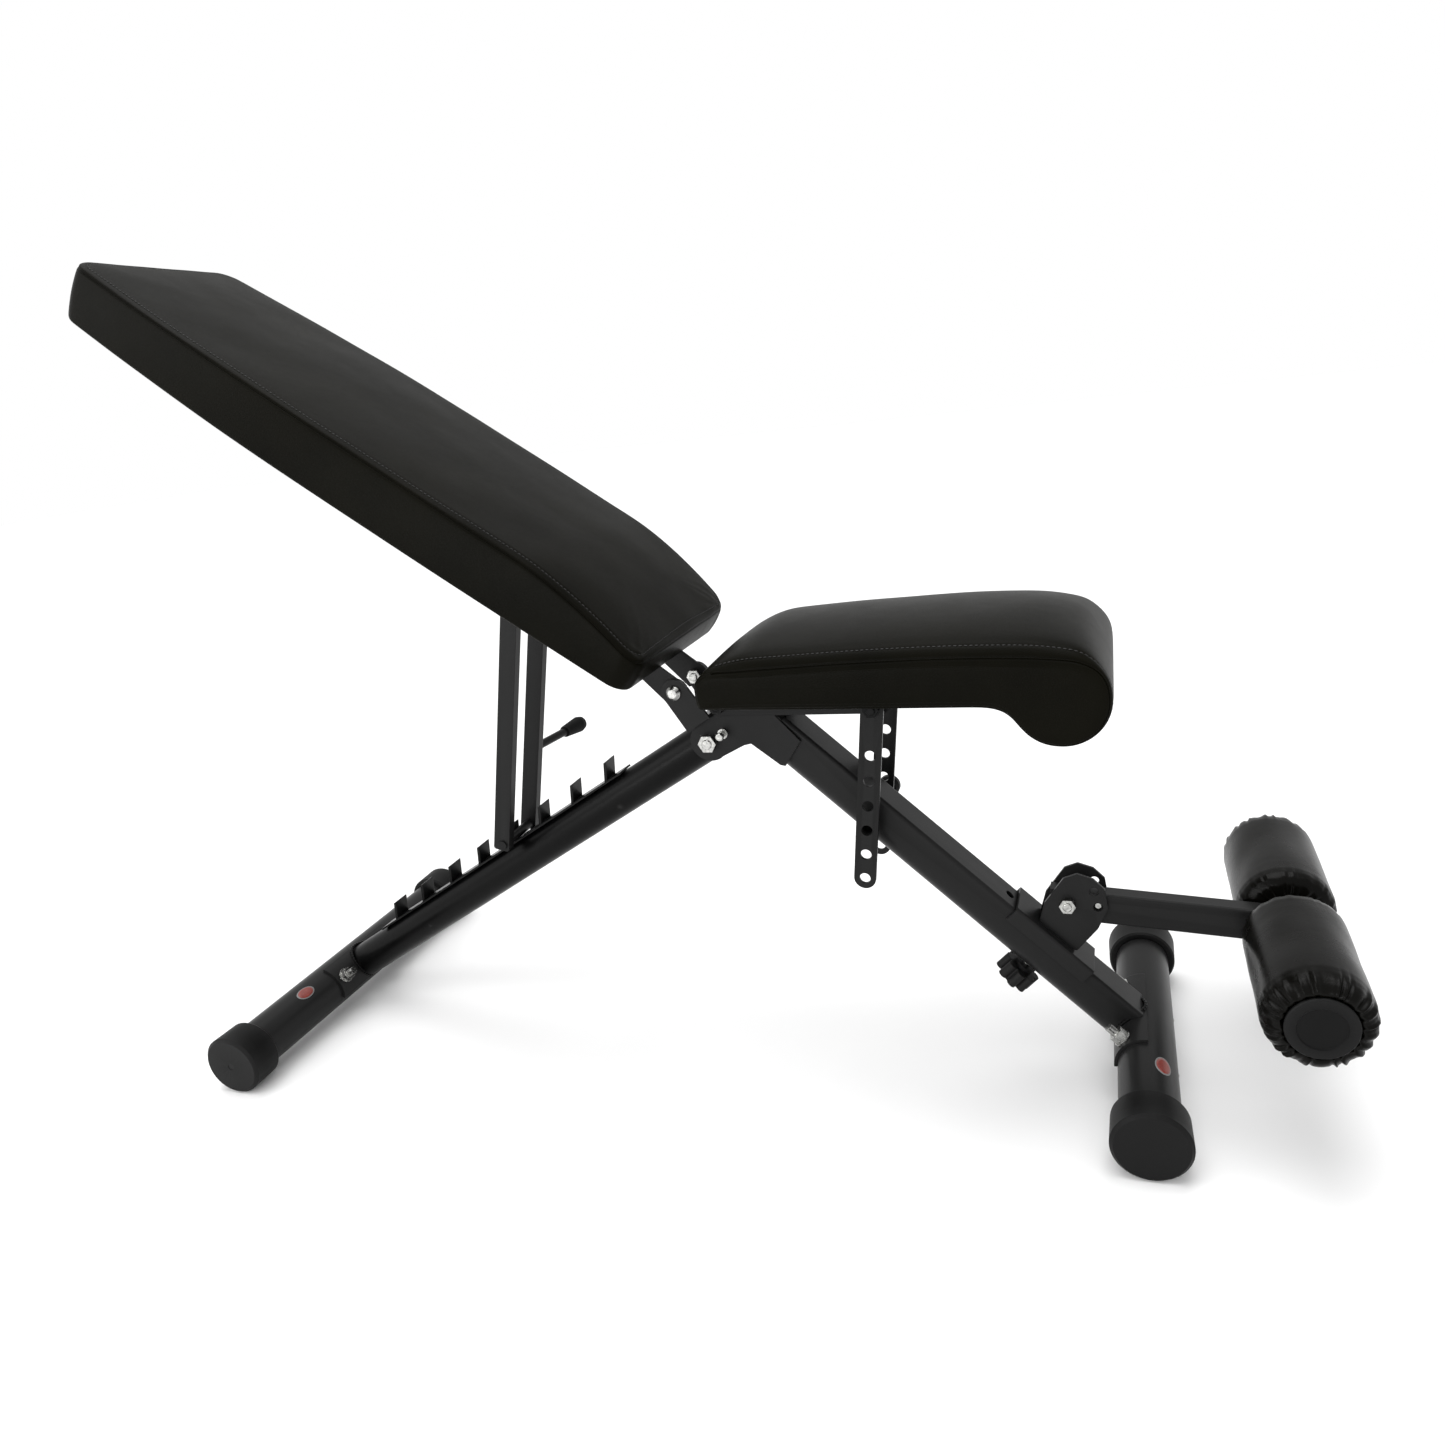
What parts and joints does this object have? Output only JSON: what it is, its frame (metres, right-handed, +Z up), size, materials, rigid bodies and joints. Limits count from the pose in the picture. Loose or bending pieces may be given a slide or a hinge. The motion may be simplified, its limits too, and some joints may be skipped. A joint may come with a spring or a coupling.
{
  "type": "adjustable decline sit up bench",
  "caption": "Folding exercise bench with a tilting back pad on a notched strut, a tilting seat and foam leg rollers on a pivoting arm.",
  "frame": {"origin": "middle of the bench's overall length and width, on the floor", "axes": "+X forward from the head of the back pad to the leg rollers, +Y to the far side in the usual view, +Z up"},
  "size_m": [1.1301, 0.414, 0.8387],
  "materials": {
    "pad_leatherette": "satin grained leatherette",
    "roller_leatherette": "smooth leatherette, gathered at the ends",
    "powder_coated_steel": "satin black powder coat",
    "zinc_plated_steel": "bright zinc plate",
    "moulded_plastic": "fine moulded texture",
    "grip_rubber": "matt",
    "plywood": "plain ply, covered"
  },
  "bodies": {
    "rear_frame": {"rear_crossbar": "powder_coated_steel", "rear_end_caps": "moulded_plastic", "rear_cap_screws": "zinc_plated_steel", "rear_saddle_plate": "powder_coated_steel", "rear_crossbar_bolts": "zinc_plated_steel", "rear_beam": "powder_coated_steel", "fold_bushing": "zinc_plated_steel", "height_rack": "powder_coated_steel", "back_pivot_bracket": "powder_coated_steel", "back_pivot_bolts": "zinc_plated_steel"},
    "front_frame": {"front_crossbar": "powder_coated_steel", "front_end_caps": "moulded_plastic", "front_saddle_plate": "powder_coated_steel", "front_crossbar_bolts": "zinc_plated_steel", "front_beam": "powder_coated_steel", "gusset_plate_near": "powder_coated_steel", "gusset_plate_far": "powder_coated_steel", "fold_bolt": "zinc_plated_steel", "seat_pivot_bolt": "zinc_plated_steel", "fold_lock_housing": "zinc_plated_steel", "seat_pin_sleeve": "zinc_plated_steel", "seat_pin_bracket": "powder_coated_steel", "arm_carrier": "powder_coated_steel", "arm_bracket_plates": "powder_coated_steel", "arm_pivot_bolt": "zinc_plated_steel"},
    "fold_lock": {"fold_lock_plunger": "zinc_plated_steel"},
    "seat_pin": {"seat_pull_pin": "zinc_plated_steel", "seat_pin_knob": "moulded_plastic"},
    "carrier_knob": {"star_knob": "moulded_plastic", "star_knob_screw": "zinc_plated_steel"},
    "roller_arm": {"roller_arm_tube": "powder_coated_steel", "button_spring": "zinc_plated_steel", "roller_axle": "zinc_plated_steel"},
    "arm_button": {"arm_snap_button": "zinc_plated_steel"},
    "near_roller": {"near_roller_core": "moulded_plastic", "near_foam_roller": "roller_leatherette", "near_roller_end_cap": "moulded_plastic"},
    "far_roller": {"far_roller_core": "moulded_plastic", "far_foam_roller": "roller_leatherette", "far_roller_end_cap": "moulded_plastic"},
    "back_pad": {"back_board": "plywood", "back_cushion": "pad_leatherette", "back_hinge_plates": "powder_coated_steel", "back_pad_screws": "zinc_plated_steel", "strut_bracket": "powder_coated_steel", "strut_pivot_bolt": "zinc_plated_steel"},
    "strut": {"strut_leg_near": "powder_coated_steel", "strut_leg_far": "powder_coated_steel", "strut_foot_rod": "powder_coated_steel", "strut_spacer_tube": "powder_coated_steel", "strut_handle_rod": "powder_coated_steel", "strut_handle_grip": "grip_rubber"},
    "seat": {"seat_board": "plywood", "seat_cushion": "pad_leatherette", "seat_irons": "powder_coated_steel", "seat_iron_screws": "zinc_plated_steel"},
    "seat_bars": {"seat_bar_near": "powder_coated_steel", "seat_bar_far": "powder_coated_steel", "seat_bar_bolt": "zinc_plated_steel", "seat_bar_spacers": "zinc_plated_steel"}
  },
  "joints": [
    {"name": "fold", "type": "hinge", "parent": "rear_frame", "child": "front_frame", "pos_m": [0.00995, 0, 0.33351], "axis": [0, 1, 0], "range_deg": [0, 100]},
    {"name": "fold_lock_slide", "type": "slide", "parent": "front_frame", "child": "fold_lock", "axis": [0, 1, 0], "range_m": [0, 0.006]},
    {"name": "back_tilt", "type": "hinge", "parent": "rear_frame", "child": "back_pad", "pos_m": [-0.0159, 0, 0.3865], "axis": [0, 1, 0], "range_deg": [0, 33]},
    {"name": "strut_swing", "type": "hinge", "parent": "back_pad", "child": "strut", "pos_m": [-0.1737, 0, 0.493], "axis": [0, 1, 0], "range_deg": [-31.35, 0]},
    {"name": "seat_tilt", "type": "hinge", "parent": "front_frame", "child": "seat", "pos_m": [0.0243, 0, 0.371], "axis": [0, -1, 0], "range_deg": [0, 19.4]},
    {"name": "bars_swing", "type": "hinge", "parent": "seat", "child": "seat_bars", "pos_m": [0.1752, 0, 0.3703], "axis": [0, -1, 0], "range_deg": [-14.71, 0]},
    {"name": "seat_pin_slide", "type": "slide", "parent": "front_frame", "child": "seat_pin", "axis": [0, -1, 0], "range_m": [0, 0.014]},
    {"name": "knob_turn", "type": "hinge", "parent": "front_frame", "child": "carrier_knob", "pos_m": [0.31419, 0, 0.11583], "axis": [-0.6807, 0, -0.7325], "continuous": true},
    {"name": "arm_tilt", "type": "hinge", "parent": "front_frame", "child": "roller_arm", "pos_m": [0.3378, 0, 0.1712], "axis": [0, -1, 0], "range_deg": [0, 35]},
    {"name": "arm_button_press", "type": "slide", "parent": "roller_arm", "child": "arm_button", "axis": [0, -1, 0], "range_m": [0, 0.0035]},
    {"name": "near_roller_turn", "type": "hinge", "parent": "roller_arm", "child": "near_roller", "pos_m": [0.5233, -0.086, 0.1545], "axis": [0, 1, 0], "continuous": true},
    {"name": "far_roller_turn", "type": "hinge", "parent": "roller_arm", "child": "far_roller", "pos_m": [0.5233, 0.086, 0.1545], "axis": [0, 1, 0], "continuous": true}
  ],
  "couplings": [
    {"joint": "strut_swing", "follows": "back_tilt", "ratio": -0.95},
    {"joint": "bars_swing", "follows": "seat_tilt", "ratio": -0.758}
  ]
}
